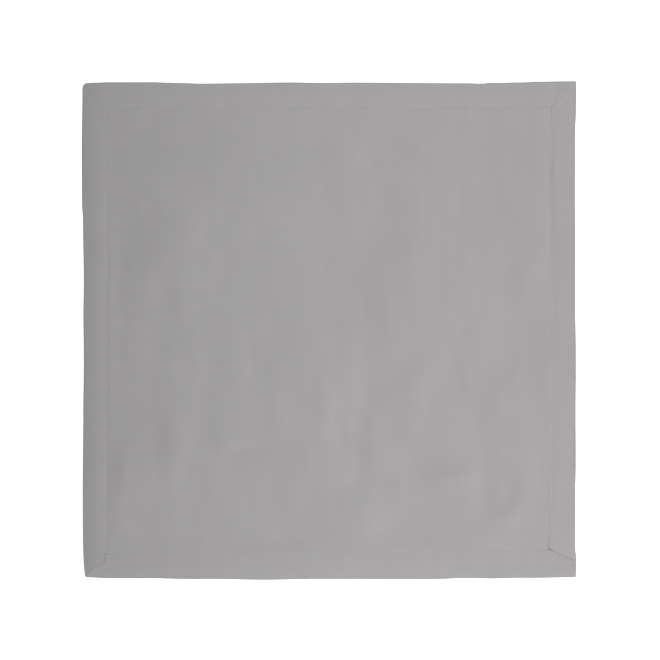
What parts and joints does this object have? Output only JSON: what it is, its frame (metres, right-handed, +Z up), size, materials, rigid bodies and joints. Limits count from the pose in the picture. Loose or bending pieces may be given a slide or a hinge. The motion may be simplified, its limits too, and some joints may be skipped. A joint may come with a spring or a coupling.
{
  "type": "cloth table napkin",
  "caption": "Square cloth napkin lying open and flat, hem side up, with turned hems, a stitched inner line and slanting corner seams.",
  "frame": {"origin": "on the surface that the napkin lies on, under the middle of its outline", "axes": "+Z up, out of the hem side; +X and +Y along the two edges"},
  "size_m": [0.4502, 0.4538, 0.0022],
  "materials": {
    "cloth": "matt plain weave, mid grey"
  },
  "bodies": {
    "root": {"napkin": "cloth"}
  },
  "joints": []
}
